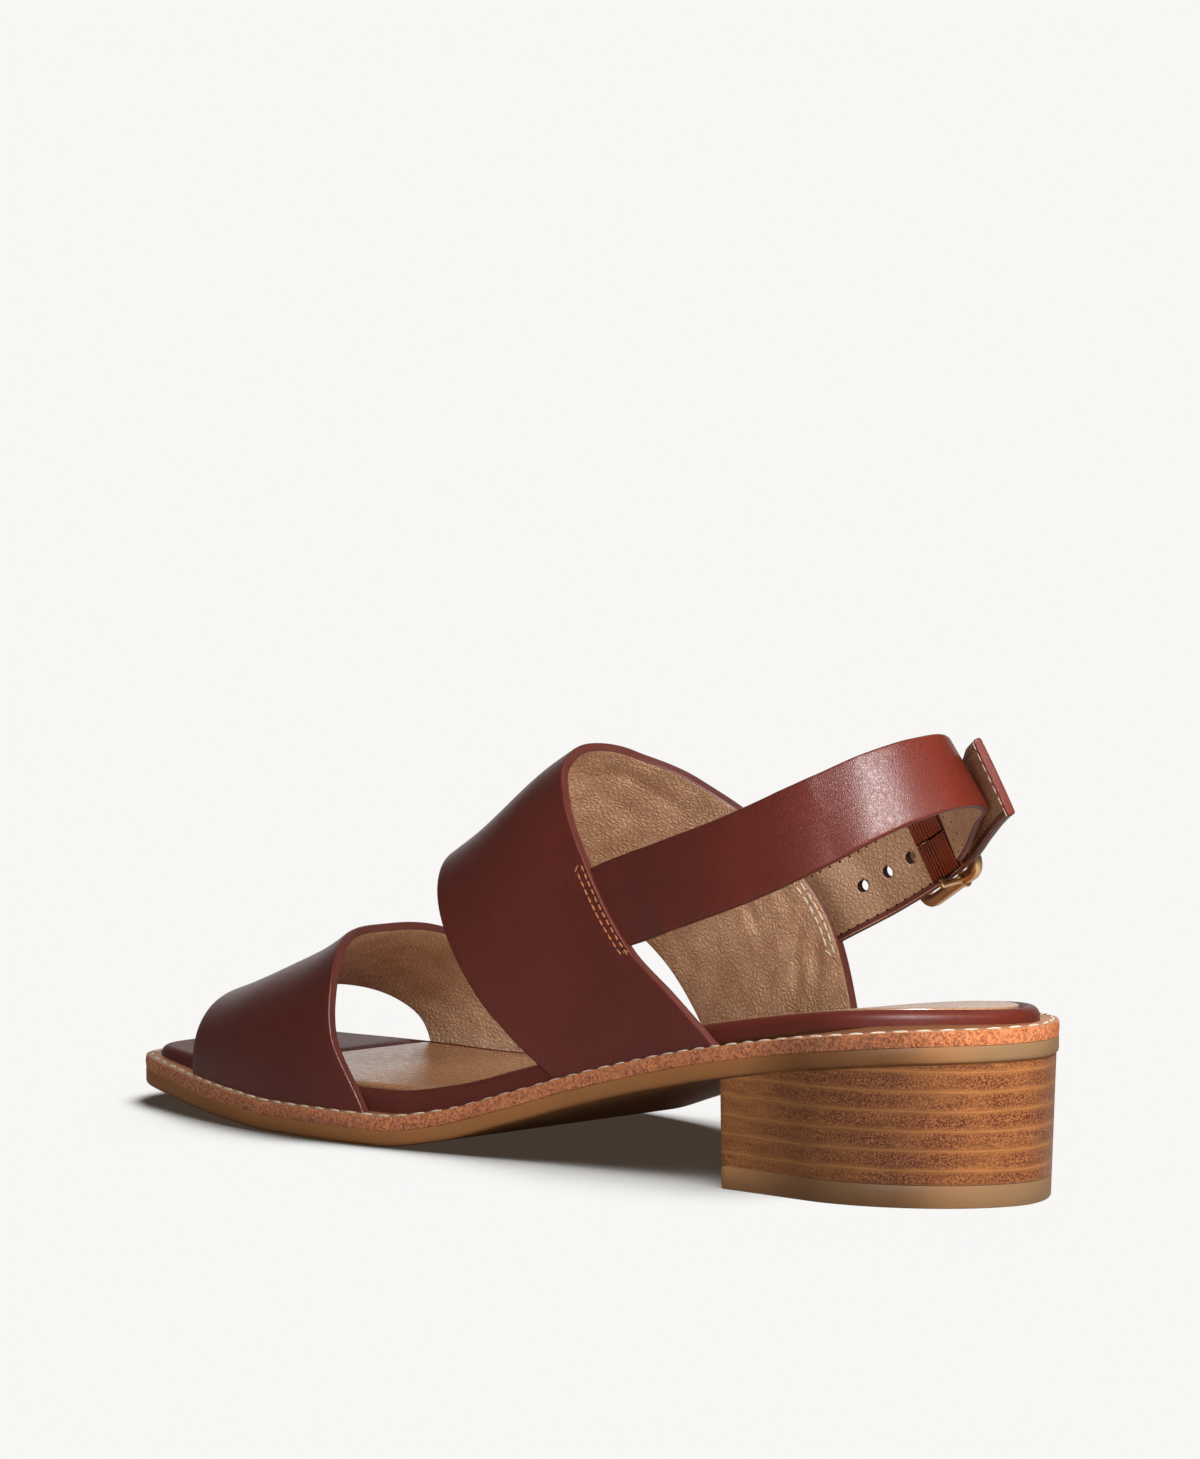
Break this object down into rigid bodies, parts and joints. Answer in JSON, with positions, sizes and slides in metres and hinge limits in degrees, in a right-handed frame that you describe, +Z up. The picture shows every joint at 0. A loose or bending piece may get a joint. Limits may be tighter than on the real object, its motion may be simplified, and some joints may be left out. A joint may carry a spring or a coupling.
{
  "type": "dress sandal",
  "caption": "Open-toe dress sandal with a toe band, an instep band, a buckled heel sling and a stacked block heel on a welted sole.",
  "frame": {"origin": "on the floor, under the middle of the shoe's length and width", "axes": "+X to the toe, +Y to the inner side of the foot, +Z up"},
  "size_m": [0.2446, 0.0784, 0.0918],
  "materials": {
    "upper_leather": "smooth, half gloss",
    "insole_leather": "smooth, half gloss",
    "sock_leather": "matt",
    "welt_leather": "raw edge",
    "gum_rubber": "matt",
    "stacked_leather": "stacked layers, waxed",
    "elastic_web": "ribbed",
    "gold_metal": "polished gold colour"
  },
  "bodies": {
    "root": {"outsole": "gum_rubber", "welt": "welt_leather", "heel_block": "stacked_leather", "heel_top_piece": "gum_rubber", "insole": "insole_leather", "insole_sock": "sock_leather", "toe_band": "upper_leather", "instep_and_sling": "upper_leather", "elastic": "elastic_web", "buckle_frame": "gold_metal", "buckle_prong": "gold_metal"}
  },
  "joints": []
}
